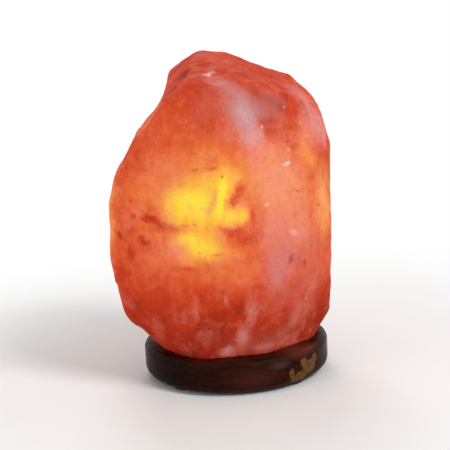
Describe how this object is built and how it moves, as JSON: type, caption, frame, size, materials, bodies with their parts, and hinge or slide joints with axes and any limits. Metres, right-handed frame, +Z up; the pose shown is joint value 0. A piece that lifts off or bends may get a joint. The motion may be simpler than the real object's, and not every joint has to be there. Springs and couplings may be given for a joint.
{
  "type": "salt crystal lamp",
  "caption": "Rough rock-salt crystal, hollowed from below, on a turned wooden base, with a clip-in lampholder and a screw-in bulb inside it.",
  "frame": {"origin": "on the wooden base's axis, in the plane of the rubber feet", "axes": "+Z up along the base's axis and the bulb's; -Y is the front; +X is the right side seen from the front"},
  "size_m": [0.1539, 0.1475, 0.2265],
  "materials": {
    "salt": "rough, translucent, lit from inside",
    "stained_wood": "dark stain under a satin varnish",
    "rubber": "matte",
    "screw_steel": "zinc plated",
    "plug_nylon": "matte",
    "plate_steel": "zinc plated",
    "spring_steel": "satin",
    "holder_plastic": "satin",
    "socket_plastic": "matte",
    "bush_nylon": "satin",
    "brass": "satin",
    "cap_metal": "satin",
    "solder": "satin",
    "cap_glass": "gloss",
    "cement": "matte",
    "bulb_glass": "clear",
    "stem_glass": "clear",
    "wire": "satin",
    "tungsten": "glowing"
  },
  "bodies": {
    "root": {"salt_crystal": "salt", "wooden_base": "stained_wood", "rubber_feet": "rubber", "crystal_screws": "screw_steel", "crystal_plugs": "plug_nylon"},
    "holder": {"mounting_plate": "plate_steel", "threaded_nipple": "plate_steel", "lock_nuts": "plate_steel", "inlet_bush": "bush_nylon", "socket_bracket": "plate_steel", "bracket_screw": "screw_steel", "lampholder_shell": "holder_plastic", "socket_insulator": "socket_plastic", "centre_contact": "brass", "side_contact": "brass", "terminal_blocks": "brass", "terminal_screws": "screw_steel", "thread_sleeve": "brass"},
    "clip_left": {"clip_left": "spring_steel"},
    "clip_right": {"clip_right": "spring_steel"},
    "bulb_tip": {"bulb_solder_tip": "solder"},
    "bulb": {"bulb_cap_insulator": "cap_glass", "bulb_cap": "cap_metal", "cap_cement": "cement", "bulb_glass": "bulb_glass", "bulb_stem": "stem_glass", "bulb_lead_wires": "wire", "bulb_support_wire": "wire", "bulb_filament": "tungsten"}
  },
  "joints": [
    {"name": "holder_slide", "type": "slide", "parent": "root", "child": "holder", "axis": [0, 0, 1], "range_m": [-0.135, 0]},
    {"name": "clip_left_flex", "type": "hinge", "parent": "holder", "child": "clip_left", "pos_m": [-0.0188, 0, 0.0098], "axis": [0, 1, 0], "range_deg": [0, 8], "stiffness_Nm_per_rad": 0.5, "springref_deg": -1.15},
    {"name": "clip_right_flex", "type": "hinge", "parent": "holder", "child": "clip_right", "pos_m": [0.0188, 0, 0.0098], "axis": [0, -1, 0], "range_deg": [0, 8], "stiffness_Nm_per_rad": 0.5, "springref_deg": -1.15},
    {"name": "bulb_rise", "type": "slide", "parent": "holder", "child": "bulb_tip", "axis": [0, 0, 1], "range_m": [0, 0.0113]},
    {"name": "bulb_turn", "type": "hinge", "parent": "bulb_tip", "child": "bulb", "pos_m": [0, 0, 0.0746], "axis": [0, 0, 1], "range_deg": [0, 1440]}
  ],
  "couplings": [
    {"joint": "bulb_rise", "follows": "bulb_turn", "m_per_rad": 0.00044914}
  ]
}
